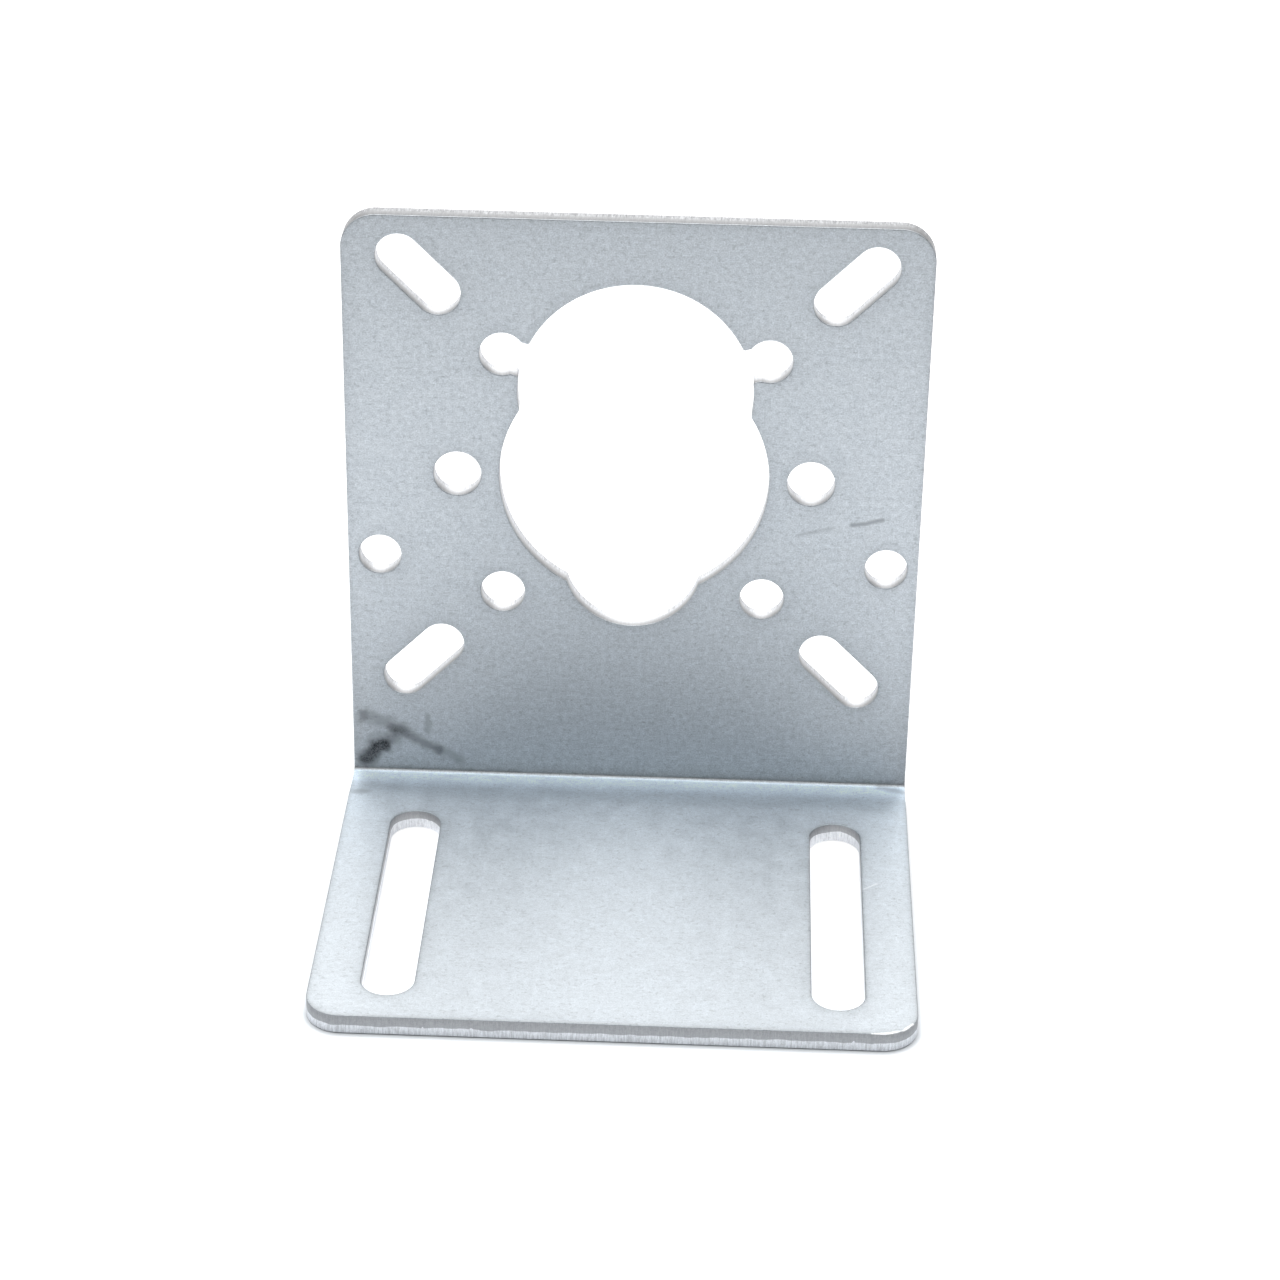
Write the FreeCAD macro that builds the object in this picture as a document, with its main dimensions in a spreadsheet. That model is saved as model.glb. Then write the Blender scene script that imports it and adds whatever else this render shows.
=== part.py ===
import FreeCAD, Part
import os
import Sketcher
from FreeCAD import Vector
from math import hypot, radians

os.makedirs("parts", exist_ok=True)

# Motor mounting bracket: one blank punched from zinc-coated steel sheet and folded once.
# The upright plate carries a small motor, and the base is bolted down through two long slots.
#
# Frame in millimetres, +Z up. The underside of the base is z = 0, the middle of the width is
# x = 0 and the middle of the depth is y = 0. The plate stands at the back, on the +Y side,
# and the base runs forward from it, towards -Y.

doc = FreeCAD.newDocument("MotorBracket")
sheet = doc.addObject("Spreadsheet::Sheet", "Sizes")

SIZES = {
    # Sheet and fold
    "sheet_thickness": 2.0,
    "bend_inner_radius": 0.2,
    "bracket_width": 60.0,
    "base_depth": 48.9,
    "corner_radius": 3.6,
    # The motor axis, above the underside of the base
    "motor_height": 38.0,
    # Opening for the gearbox: a main circle, a relief above it and a small relief below it
    "main_bore_diameter": 28.1,
    "upper_relief_diameter": 24.3,
    "upper_relief_rise": 9.55,
    "lower_relief_diameter": 14.5,
    "lower_relief_drop": 10.1,
    "cusp_radius": 0.3,
    # Four holes on a square about the motor axis; the upper two open into the upper relief
    "square_hole_spacing": 27.4,
    "square_hole_diameter": 4.7,
    "throat_width": 3.7,
    # Two holes level with the motor axis, a web away from the main circle
    "level_hole_diameter": 5.0,
    "level_hole_web": 1.85,
    # Two smaller holes lower down, a thin web away from the plate's sides
    "low_hole_diameter": 4.5,
    "low_hole_drop": 9.7,
    "low_hole_web": 1.1,
    # Four short slots on the diagonals of the motor axis, and the web above the upper two
    "diagonal_slot_spacing": 44.4,
    "diagonal_slot_width": 4.7,
    "diagonal_slot_travel": 5.6,
    "top_web": 2.0,
    # Two long slots in the base, to slide the bracket before it is bolted down
    "base_slot_spacing": 44.5,
    "base_slot_width": 5.3,
    "base_slot_length": 34.5,
    "base_slot_web": 3.8,
    # The edge that the punch draws down on the side it enters, the inside of the fold
    "punch_roll_depth": 0.2,
}

for row, (alias, value) in enumerate(SIZES.items(), start=1):
    sheet.set(f"A{row}", alias)
    sheet.set(f"B{row}", str(value))
    sheet.setAlias(f"B{row}", alias)
doc.recompute()

body = doc.addObject("PartDesign::Body", "Bracket")
body.Label = "bracket"

# Places that follow from the sizes: the pattern of holes sets how high the plate stands
SLOT_REACH = ("Sizes.diagonal_slot_spacing / 2 + Sizes.diagonal_slot_travel / sqrt(8)"
              " + Sizes.diagonal_slot_width / 2")
PLATE_HEIGHT = f"Sizes.motor_height + {SLOT_REACH} + Sizes.top_web"
LEVEL_HOLE_OFFSET = ("Sizes.main_bore_diameter / 2 + Sizes.level_hole_web"
                     " + Sizes.level_hole_diameter / 2")
LOW_HOLE_OFFSET = "Sizes.bracket_width / 2 - Sizes.low_hole_web - Sizes.low_hole_diameter / 2"
HALF_SQUARE = "Sizes.square_hole_spacing / 2"

# The names that a sketch gives to a line's ends, an arc's centre, its origin and its axes
START, END, CENTRE = range(1, 4)
HORIZONTAL_AXIS, VERTICAL_AXIS = range(-1, -3, -1)
SKETCH_ORIGIN = (HORIZONTAL_AXIS, START)
UP = Vector(0, 0, 1)


def number(expression):
    """What an expression on the sheet is worth now, to draw geometry near its final place."""
    return float(sheet.evalExpression(expression))


def origin_plane(role):
    return next(item for item in body.Origin.OriginFeatures if item.Role == role)


def new_sketch(name, role, turn=0):
    """A sketch on one of the body's own planes, turned within it by some degrees."""
    sketch = body.newObject("Sketcher::SketchObject", name)
    sketch.AttachmentSupport = [(origin_plane(role), "")]
    sketch.MapMode = "FlatFace"
    sketch.AttachmentOffset = FreeCAD.Placement(Vector(), FreeCAD.Rotation(UP, turn))
    return sketch


def plate_sketch(name, turn=0):
    """A sketch of the plate seen from the front, with its origin on the motor axis."""
    sketch = new_sketch(name, "XZ_Plane", turn)
    sketch.setExpression("AttachmentOffset.Base.y", "Sizes.motor_height")
    return sketch


def fix(sketch, *constraint):
    """A constraint without a size, such as tangent, vertical or on the same point."""
    return sketch.addConstraint(Sketcher.Constraint(*constraint))


def hold(sketch, name, expression, *constraint):
    """A named dimension of a sketch, driven by the sheet."""
    index = fix(sketch, *constraint, number(expression))
    sketch.renameConstraint(index, name)
    sketch.setExpression(f"Constraints.{name}", expression)


def line(sketch, first, second):
    return sketch.addGeometry(Part.LineSegment(Vector(*first), Vector(*second)))


def arc(sketch, centre, radius, first_angle, last_angle):
    whole = Part.Circle(Vector(*centre), UP, radius)
    return sketch.addGeometry(Part.ArcOfCircle(whole, radians(first_angle), radians(last_angle)))


def circle(sketch, diameter, across=None, rise=None, drop=None):
    """A circle from expressions; without a distance, its centre is on that axis."""
    place = Vector(number(across or "0"), number(rise or "0") - number(drop or "0"))
    index = sketch.addGeometry(Part.Circle(place, UP, number(diameter) / 2))
    hold(sketch, "diameter", diameter, "Diameter", index)
    if across:
        hold(sketch, "across", across, "DistanceX", *SKETCH_ORIGIN, index, CENTRE)
    else:
        fix(sketch, "PointOnObject", index, CENTRE, VERTICAL_AXIS)
    if rise:
        hold(sketch, "rise", rise, "DistanceY", *SKETCH_ORIGIN, index, CENTRE)
    elif drop:
        hold(sketch, "drop", drop, "DistanceY", index, CENTRE, *SKETCH_ORIGIN)
    else:
        fix(sketch, "PointOnObject", index, CENTRE, HORIZONTAL_AXIS)


def slot(sketch, across, width, travel, rise=None):
    """A slot with round ends along the sketch's horizontal axis; across is to its middle."""
    middle, up = number(across), number(rise or "0")
    radius, half_travel = number(width) / 2, number(travel) / 2
    far, near = middle + half_travel, middle - half_travel
    lower_side = line(sketch, (near, up - radius), (far, up - radius))
    far_end = arc(sketch, (far, up), radius, -90, 90)
    upper_side = line(sketch, (far, up + radius), (near, up + radius))
    near_end = arc(sketch, (near, up), radius, 90, 270)
    outline = (lower_side, far_end, upper_side, near_end)
    for piece, following in zip(outline, outline[1:] + outline[:1]):
        fix(sketch, "Tangent", piece, END, following, START)
    fix(sketch, "Horizontal", lower_side)
    fix(sketch, "Equal", far_end, near_end)
    hold(sketch, "end_radius", f"{width} / 2", "Radius", near_end)
    hold(sketch, "travel", travel, "DistanceX", near_end, CENTRE, far_end, CENTRE)
    hold(sketch, "near_centre", f"{across} - ({travel}) / 2", "DistanceX", *SKETCH_ORIGIN,
         near_end, CENTRE)
    if rise:
        hold(sketch, "rise", rise, "DistanceY", *SKETCH_ORIGIN, near_end, CENTRE)
    else:
        fix(sketch, "PointOnObject", near_end, CENTRE, HORIZONTAL_AXIS)


def recompute(feature):
    doc.recompute()
    if feature.Shape.isNull() or not feature.Shape.isValid():
        raise RuntimeError(f"{feature.Name} has no valid shape")


def punch(name, sketch, reverse=False):
    """Cut a sketch right through the sheet, and make sure that it took metal away."""
    before = body.Shape.Volume
    cut = body.newObject("PartDesign::Pocket", name)
    cut.Profile = sketch
    cut.Type = "ThroughAll"
    cut.Reversed = reverse
    recompute(cut)
    if cut.Shape.Volume >= before:
        raise RuntimeError(f"{name} took no metal away")
    return cut


def mirror_across_middle(name, feature):
    copy = body.newObject("PartDesign::Mirrored", name)
    copy.Originals = [feature]
    copy.MirrorPlane = (origin_plane("YZ_Plane"), [""])
    body.Tip = copy
    recompute(copy)


def repeat_about_motor_axis(name, feature):
    """Four copies of a cut, a quarter turn apart about the motor axis."""
    copy = body.newObject("PartDesign::PolarPattern", name)
    copy.Originals = [feature]
    copy.Axis = (feature.Profile[0], ["N_Axis"])
    copy.Angle = 360
    copy.Occurrences = 4
    body.Tip = copy
    recompute(copy)


LEAST_TURN = 0.05


def is_sharp(shape, edge):
    """Whether two faces meet at an angle along an edge, unlike at a seam or a tangent join."""
    faces = shape.ancestorsOfType(edge, Part.Face)
    if len(faces) != 2:
        return False
    middle = edge.valueAt((edge.FirstParameter + edge.LastParameter) / 2)
    first, second = (face.normalAt(*face.Surface.parameter(middle)) for face in faces)
    return first.cross(second).Length > LEAST_TURN


def dress_edges(kind, name, dimension, expression, wanted):
    """A fillet or chamfer on every sharp edge of the body so far that the test picks out."""
    feature_below, shape = body.Tip, body.Shape
    names = [f"Edge{place}" for place, edge in enumerate(shape.Edges, start=1)
             if wanted(edge) and is_sharp(shape, edge)]
    dressing = body.newObject(kind, name)
    dressing.Base = (feature_below, names)
    dressing.setExpression(dimension, expression)
    recompute(dressing)
    print(f"{name}: {len(names)} edges")


def round_edges(name, radius, wanted):
    dress_edges("PartDesign::Fillet", name, "Radius", radius, wanted)


# The folded sheet: its profile seen from the side, padded to the width

profile = new_sketch("SideProfile", "YZ_Plane")
THICKNESS, INNER = number("Sizes.sheet_thickness"), number("Sizes.bend_inner_radius")
HEIGHT, BACK = number(PLATE_HEIGHT), number("Sizes.base_depth / 2")
OUTER = INNER + THICKNESS
bend_centre = (BACK - OUTER, OUTER)

underside = line(profile, (-BACK, 0), (BACK - OUTER, 0))
outer_bend = arc(profile, bend_centre, OUTER, -90, 0)
plate_back = line(profile, (BACK, OUTER), (BACK, HEIGHT))
plate_top = line(profile, (BACK, HEIGHT), (BACK - THICKNESS, HEIGHT))
plate_front = line(profile, (BACK - THICKNESS, HEIGHT), (BACK - THICKNESS, OUTER))
inner_bend = arc(profile, bend_centre, INNER, -90, 0)
base_top = line(profile, (BACK - OUTER, THICKNESS), (-BACK, THICKNESS))
base_front = line(profile, (-BACK, THICKNESS), (-BACK, 0))

fix(profile, "Tangent", underside, END, outer_bend, START)
fix(profile, "Tangent", outer_bend, END, plate_back, START)
fix(profile, "Coincident", plate_back, END, plate_top, START)
fix(profile, "Coincident", plate_top, END, plate_front, START)
fix(profile, "Tangent", plate_front, END, inner_bend, END)
fix(profile, "Tangent", inner_bend, START, base_top, START)
fix(profile, "Coincident", base_top, END, base_front, START)
fix(profile, "Coincident", base_front, END, underside, START)
fix(profile, "Coincident", inner_bend, CENTRE, outer_bend, CENTRE)
for level in (underside, plate_top, base_top):
    fix(profile, "Horizontal", level)
for upright in (plate_back, plate_front, base_front):
    fix(profile, "Vertical", upright)
fix(profile, "PointOnObject", underside, START, HORIZONTAL_AXIS)
hold(profile, "thickness", "Sizes.sheet_thickness", "DistanceY", base_front, END, base_front, START)
hold(profile, "inner_radius", "Sizes.bend_inner_radius", "Radius", inner_bend)
hold(profile, "height", PLATE_HEIGHT, "DistanceY", underside, START, plate_back, END)
hold(profile, "depth", "Sizes.base_depth", "DistanceX", underside, START, plate_back, END)
hold(profile, "front", "Sizes.base_depth / 2", "DistanceX", underside, START, *SKETCH_ORIGIN)

folded_sheet = body.newObject("PartDesign::Pad", "FoldedSheet")
folded_sheet.Profile = profile
folded_sheet.SideType = "Symmetric"
folded_sheet.setExpression("Length", "Sizes.bracket_width")
recompute(folded_sheet)

# The opening in the plate. The lower two of the square holes stay round, and the upper two reach
# the upper relief through a throat, which is a strip between the hole and the relief's middle.

for name, sizes in {
    "MainBore": {"diameter": "Sizes.main_bore_diameter"},
    "UpperRelief": {"diameter": "Sizes.upper_relief_diameter", "rise": "Sizes.upper_relief_rise"},
    "LowerRelief": {"diameter": "Sizes.lower_relief_diameter", "drop": "Sizes.lower_relief_drop"},
}.items():
    sketch = plate_sketch(f"{name}Circle")
    circle(sketch, **sizes)
    punch(name, sketch)

sketch = plate_sketch("SquareHoleCircle")
circle(sketch, "Sizes.square_hole_diameter", across=HALF_SQUARE, rise=HALF_SQUARE)
repeat_about_motor_axis("SquareHoles", punch("SquareHole", sketch))

throat = plate_sketch("ThroatStrip")
relief_middle = Vector(0, number("Sizes.upper_relief_rise"))
hole_middle = Vector(number(HALF_SQUARE), number(HALF_SQUARE))
along = (hole_middle - relief_middle).normalize()
aside = Vector(-along.y, along.x) * (number("Sizes.throat_width") / 2)
corners = [relief_middle - aside, hole_middle - aside, hole_middle + aside, relief_middle + aside]
lower_wall, hole_end, upper_wall, relief_end = (
    line(throat, first, second) for first, second in zip(corners, corners[1:] + corners[:1]))
centre_line = line(throat, relief_middle, hole_middle)
throat.toggleConstruction(centre_line)
for wall, following in ((lower_wall, hole_end), (hole_end, upper_wall),
                        (upper_wall, relief_end), (relief_end, lower_wall)):
    fix(throat, "Coincident", wall, END, following, START)
fix(throat, "PointOnObject", centre_line, START, VERTICAL_AXIS)
hold(throat, "relief_rise", "Sizes.upper_relief_rise", "DistanceY", *SKETCH_ORIGIN, centre_line, START)
hold(throat, "hole_across", HALF_SQUARE, "DistanceX", *SKETCH_ORIGIN, centre_line, END)
hold(throat, "hole_rise", HALF_SQUARE, "DistanceY", *SKETCH_ORIGIN, centre_line, END)
fix(throat, "Symmetric", hole_end, START, hole_end, END, centre_line, END)
fix(throat, "Symmetric", relief_end, START, relief_end, END, centre_line, START)
fix(throat, "Perpendicular", hole_end, centre_line)
fix(throat, "Parallel", lower_wall, centre_line)
hold(throat, "width", "Sizes.throat_width", "Distance", hole_end, START, hole_end, END)
mirror_across_middle("Throats", punch("Throat", throat))

HALF_WIDTH = number("Sizes.bracket_width / 2")
NEAR = 0.001


def passes_through_sheet(edge):
    """Whether an edge is straight and as long as the sheet is thick."""
    start, finish = (corner.Point for corner in (edge.Vertexes[0], edge.Vertexes[-1]))
    span = finish - start
    return abs(span.Length - THICKNESS) < NEAR and abs(span.x) < NEAR


def is_cusp(edge):
    """A corner of the opening, where two of its curves cross."""
    return passes_through_sheet(edge) and abs(edge.CenterOfMass.x) < HALF_WIDTH - NEAR


round_edges("RoundedCusps", "Sizes.cusp_radius", is_cusp)

# Round holes and slots around the opening

for name, diameter, offset, drop in (
    ("LevelHole", "Sizes.level_hole_diameter", LEVEL_HOLE_OFFSET, None),
    ("LowHole", "Sizes.low_hole_diameter", LOW_HOLE_OFFSET, "Sizes.low_hole_drop"),
):
    sketch = plate_sketch(f"{name}Circle")
    circle(sketch, diameter, across=offset, drop=drop)
    mirror_across_middle(f"{name}s", punch(name, sketch))

sketch = plate_sketch("DiagonalSlotOutline", turn=45)
slot(sketch, "Sizes.diagonal_slot_spacing / sqrt(2)", "Sizes.diagonal_slot_width",
     "Sizes.diagonal_slot_travel")
repeat_about_motor_axis("DiagonalSlots", punch("DiagonalSlot", sketch))

# The slots in the base, drawn with the sketch turned so that its horizontal axis points forward

sketch = new_sketch("BaseSlotOutline", "XY_Plane", turn=-90)
slot(sketch, "Sizes.base_depth / 2 - Sizes.base_slot_web - Sizes.base_slot_length / 2",
     "Sizes.base_slot_width", "Sizes.base_slot_length - Sizes.base_slot_width",
     rise="Sizes.base_slot_spacing / 2")
mirror_across_middle("BaseSlots", punch("BaseSlot", sketch, reverse=True))

# The blank's rounded corners, then the roll on every edge that the punch entered


def is_outer_corner(edge):
    """An edge through the sheet at a top corner of the plate or a front corner of the base."""
    return passes_through_sheet(edge) and abs(edge.CenterOfMass.x) > HALF_WIDTH - NEAR


def is_inside_edge(edge):
    """An edge on the inside of the fold: on the plate's front, the base's top or their bend."""
    middle = edge.valueAt((edge.FirstParameter + edge.LastParameter) / 2)
    for point in (middle, *(corner.Point for corner in edge.Vertexes)):
        forward, above = BACK - OUTER - point.y, point.z - OUTER
        if above > -NEAR:
            off_surface = abs(forward + INNER)
        elif forward > -NEAR:
            off_surface = abs(above + INNER)
        else:
            off_surface = abs(hypot(forward, above) - INNER)
        if off_surface > NEAR:
            return False
    return True


round_edges("RoundedCorners", "Sizes.corner_radius", is_outer_corner)
dress_edges("PartDesign::Chamfer", "PunchRoll", "Size", "Sizes.punch_roll_depth", is_inside_edge)

for item in doc.Objects:
    if any(flag in item.State for flag in ("Invalid", "Error")):
        raise RuntimeError(f"{item.Name} is in state {item.State}")
if body.Shape.isNull() or not body.Shape.isValid() or len(body.Shape.Solids) != 1:
    raise RuntimeError("the bracket is not one valid solid")
print("box", body.Shape.BoundBox, "volume", round(body.Shape.Volume, 1))

body.Shape.exportStep("parts/bracket.step")
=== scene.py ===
# %% [markdown]
# # A motor mounting bracket, punched flat and folded once
# The real bracket is one piece of zinc-coated steel sheet, 2 mm thick. A press punches the holes
# and cuts out the blank, and a second press folds it into an upright plate and a base.
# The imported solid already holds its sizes. We load it first, and everything we make goes by it.

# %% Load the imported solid
from math import acos, atan2, cos, degrees, exp, pi, radians, sin, sqrt

import bmesh
import bpy
from mathutils import Matrix, Quaternion, Vector


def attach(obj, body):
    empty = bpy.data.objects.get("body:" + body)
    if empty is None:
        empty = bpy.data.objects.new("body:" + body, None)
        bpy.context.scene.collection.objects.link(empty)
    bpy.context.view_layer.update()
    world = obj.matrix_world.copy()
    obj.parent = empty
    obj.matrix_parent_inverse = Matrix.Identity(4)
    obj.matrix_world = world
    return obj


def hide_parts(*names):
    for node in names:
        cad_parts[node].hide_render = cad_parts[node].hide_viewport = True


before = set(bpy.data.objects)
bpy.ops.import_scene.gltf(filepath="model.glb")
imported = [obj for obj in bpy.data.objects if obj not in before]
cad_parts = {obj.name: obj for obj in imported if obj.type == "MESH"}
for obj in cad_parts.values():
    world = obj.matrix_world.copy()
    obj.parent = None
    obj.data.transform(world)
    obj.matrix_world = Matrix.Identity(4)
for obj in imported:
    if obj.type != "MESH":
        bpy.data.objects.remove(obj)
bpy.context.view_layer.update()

MM = 0.001

# %% [markdown]
# ## The camera
# A product photographer stands back with a long lens, which keeps the upright sides nearly
# parallel. We could aim by eye, but the bracket's own corners and holes tell where the lens was.
# So the place, the aim and the small roll below are those that put them where the picture has them.

# %% Set the camera
CAMERA_PLACE = Vector((9.97, -299.23, 195.09)) * MM
CAMERA_AIM = Vector((-0.02465, 0.87685, -0.48014))
CAMERA_ROLL = radians(1.03)
LENS_ON_36_MM = 96.82

camera = bpy.data.objects.new("camera", bpy.data.cameras.new("camera"))
bpy.context.collection.objects.link(camera)
bpy.context.scene.camera = camera
camera.data.lens = LENS_ON_36_MM
camera.data.sensor_width = 36
camera.data.clip_start = 0.01
camera.rotation_mode = "QUATERNION"
camera.rotation_quaternion = (CAMERA_AIM.to_track_quat("-Z", "Y")
                              @ Quaternion((0, 0, 1), CAMERA_ROLL))
camera.location = CAMERA_PLACE
print("Looking down by", round(degrees(-CAMERA_AIM.angle(Vector((0, 0, 1))) + pi / 2), 1))

# %% [markdown]
# ## Node helpers
# A material is a small machine of nodes, and a few helpers keep it readable. One adds a node and
# feeds its inputs from values or from other nodes, and others each do one step of arithmetic.
# The last measures how far a point lies outside a rounded rectangle: the board asks it about the
# foot of the bracket, and the sheet asks it about its own outline.

# %% Helpers for nodes
def add_node(tree, kind, inputs=None, **settings):
    """Add a node, set it up, and feed each named or numbered input a value or another socket."""
    node = tree.nodes.new(kind)
    for name, value in settings.items():
        setattr(node, name, value)
    for name, value in (inputs or {}).items():
        if isinstance(value, bpy.types.NodeSocket):
            tree.links.new(value, node.inputs[name])
        else:
            node.inputs[name].default_value = value
    return node


def maths(tree, operation, *values, clamp=False):
    """One step of arithmetic on numbers, and the socket with its result."""
    node = add_node(tree, "ShaderNodeMath", dict(enumerate(values)), operation=operation,
                    use_clamp=clamp)
    return node.outputs[0]


def vectors(tree, operation, *values, output=0, **inputs):
    """One step of arithmetic on vectors, and the socket with its result."""
    node = add_node(tree, "ShaderNodeVectorMath", {**dict(enumerate(values)), **inputs},
                    operation=operation)
    return node.outputs[output]


def ramp(tree, value, low, high, start=0.0, finish=1.0):
    """Turn a value between low and high smoothly into one between start and finish."""
    node = add_node(tree, "ShaderNodeMapRange", {"Value": value, "From Min": low, "From Max": high,
                                                 "To Min": start, "To Max": finish},
                    interpolation_type="SMOOTHSTEP")
    return node.outputs["Result"]


def mix_colours(tree, share, first, second):
    """The first colour where the share is 0, the second where it is 1."""
    return add_node(tree, "ShaderNodeMix", {0: share, 6: first, 7: second},
                    data_type="RGBA").outputs[2]


def beyond_rounded(tree, spot, middle, half, corner):
    """How far a point lies outside a rectangle with rounded corners; inside it is negative."""
    from_middle = vectors(tree, "ABSOLUTE", vectors(tree, "SUBTRACT", spot, middle))
    beside = vectors(tree, "SUBTRACT", from_middle, half - Vector((corner, corner, 0)))
    round_part = vectors(tree, "LENGTH", vectors(tree, "MAXIMUM", beside, (0, 0, 0)), output=1)
    sides = add_node(tree, "ShaderNodeSeparateXYZ", {"Vector": beside}).outputs
    flat_part = maths(tree, "MINIMUM", maths(tree, "MAXIMUM", sides["X"], sides["Y"]), 0.0)
    return maths(tree, "SUBTRACT", maths(tree, "ADD", round_part, flat_part), corner)


def new_material(name):
    material = bpy.data.materials.new(name)
    material.use_nodes = True
    material.node_tree.nodes.clear()
    return material, material.node_tree


# %% [markdown]
# ## The studio
# A light tent hangs round the bracket: bright overhead and behind, softer at the sides, and dark
# in front where the camera looks in. Metal shows what is around it, so the base turns bright under
# the top of the tent, while the plate looks out over the board and stays greyer.
# Lamps could stand for the tent, but their edges would show in the steel. The world can hold the
# same soft patches of light: each has a direction, and fades as the cosine from it, squared three
# times. The last two lie low behind the bracket, where the walls of its holes look.

# %% Light the tent
AIR = 0.06
SQUARINGS = 3
TENT_COLOUR = (1.0, 0.992, 0.978, 1)
PATCHES = {"top": ((0, 0, 1), 3.70), "top back": ((0, 0.5, 0.87), 2.05),
           "back": ((0, 0.93, 0.37), 0.91), "left": ((-0.77, 0, 0.63), 1.55),
           "right": ((0.75, 0, 0.66), 0.76), "back left": ((-0.45, 0.89, 0.05), 0.85),
           "back right": ((0.45, 0.89, 0.05), 0.65)}

world = bpy.data.worlds.new("light_tent")
bpy.context.scene.world = world
world.use_nodes = True
tree = world.node_tree
tree.nodes.clear()
direction = add_node(tree, "ShaderNodeTexCoord").outputs["Generated"]
light = AIR
for facing, strength in PATCHES.values():
    closeness = maths(tree, "MAXIMUM", vectors(tree, "DOT_PRODUCT", direction, facing, output=1), 0.0)
    patch = closeness
    for _ in range(SQUARINGS):
        patch = maths(tree, "MULTIPLY", patch, patch)
    light = maths(tree, "MULTIPLY_ADD", patch, strength, light)
seen = add_node(tree, "ShaderNodeLightPath").outputs["Is Camera Ray"]
level = add_node(tree, "ShaderNodeMix", {0: seen, 2: light, 3: 1.0}, data_type="FLOAT").outputs[0]
tint = mix_colours(tree, seen, TENT_COLOUR, (1, 1, 1, 1))
air = add_node(tree, "ShaderNodeBackground", {"Strength": level, "Color": tint})
add_node(tree, "ShaderNodeOutputWorld", {"Surface": air.outputs[0]})
print("Patches of light:", ", ".join(PATCHES))

# %% [markdown]
# ## The white board
# The board is plain matt white. Light Path lets it glow a little where the camera or a reflection
# sees it, so it reads as pure white and keeps the soft shadow under the bracket. Stronger light
# would whiten it too, but it would burn out the metal. Reflections see the most glow in front of
# the bracket and far behind it. Along its foot the glow stops, because there the board lies in
# shade. Farther out the paint is darker, so the board throws less light at the bracket.
# The sheet rests on its burrs, so the board lies a hair below it and a dark line shows between.

# %% Lay the board
BOARD_HALF = 1.5
BURR_GAP = 0.11 * MM
GLOW_MIDDLE, GLOW_REACH = (0, -38 * MM, 0), (130 * MM, 64 * MM, 1)
FOOT_HALF, FOOT_CORNER = Vector((30.0, 24.45, 0)) * MM, 3.6 * MM
FOOT_SHADE, FOOT_LINE = 13 * MM, 0.9 * MM
BEHIND_START, BEHIND_END, BEHIND_GLOW = 40 * MM, 160 * MM, 0.9
NEAR_GLOW, FAR_GLOW = 2.15, 0.10
NEAR_PAINT, FAR_PAINT = (0.63, 0.665, 0.70, 1), (0.30, 0.31, 0.32, 1)
GLOW_COLOUR = (1.0, 0.985, 0.98, 1)

floor_mesh = bpy.data.meshes.new("white_board")
board = bmesh.new()
bmesh.ops.create_grid(board, x_segments=1, y_segments=1, size=BOARD_HALF)
bmesh.ops.translate(board, verts=board.verts, vec=(0, 0, -BURR_GAP))
board.to_mesh(floor_mesh)
board.free()
floor = bpy.data.objects.new("white_board", floor_mesh)
bpy.context.collection.objects.link(floor)

material, tree = new_material("white_board")
spot = add_node(tree, "ShaderNodeTexCoord").outputs["Object"]
from_glow = vectors(tree, "DIVIDE", vectors(tree, "SUBTRACT", spot, GLOW_MIDDLE), GLOW_REACH)
away = vectors(tree, "LENGTH", from_glow, output=1)
near = maths(tree, "EXPONENT", maths(tree, "MULTIPLY", maths(tree, "MULTIPLY", away, away), -1.0))
level = vectors(tree, "MULTIPLY", spot, (1, 1, 0))
outside = beyond_rounded(tree, level, (0, 0, 0), FOOT_HALF, FOOT_CORNER)
from_foot = maths(tree, "ABSOLUTE", outside)
path = add_node(tree, "ShaderNodeLightPath").outputs
lit = maths(tree, "MULTIPLY", ramp(tree, from_foot, 0.0, FOOT_SHADE),
            ramp(tree, outside, -1 * MM, 0.0, 0.75, 1.0))
behind = ramp(tree, add_node(tree, "ShaderNodeSeparateXYZ", {"Vector": spot}).outputs["Y"],
              BEHIND_START, BEHIND_END, 0.0, BEHIND_GLOW)
around = maths(tree, "MULTIPLY_ADD", near, NEAR_GLOW - FAR_GLOW, FAR_GLOW)
in_gloss = maths(tree, "MULTIPLY_ADD", around, lit, behind)
dimmer = ramp(tree, away, 0.2, 1.5, 0.0, 1.0)
whiter = maths(tree, "MULTIPLY_ADD", dimmer, 0.6, ramp(tree, from_foot, 0.0, FOOT_LINE, 0.0, 0.42))
in_view = maths(tree, "MULTIPLY", path["Is Camera Ray"], whiter)
glow = maths(tree, "MULTIPLY_ADD", path["Is Glossy Ray"], in_gloss, in_view)
matt = add_node(tree, "ShaderNodeBsdfPrincipled", {
    "Base Color": mix_colours(tree, dimmer, NEAR_PAINT, FAR_PAINT), "Roughness": 0.9,
    "Specular IOR Level": 0.2, "Emission Color": GLOW_COLOUR, "Emission Strength": glow})
add_node(tree, "ShaderNodeOutputMaterial", {"Surface": matt.outputs[0]})
floor_mesh.materials.append(material)
print("Board:", BOARD_HALF * 2, "metres wide")

# %% [markdown]
# ## The sizes
# These are the sizes of the real sheet, as the solid has them. The blank is drawn where it lies
# before folding: the base is already in its place, and the plate lies flat behind it.
# The bend uses up a little of that length, a quarter of a circle of its inner radius.

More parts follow.
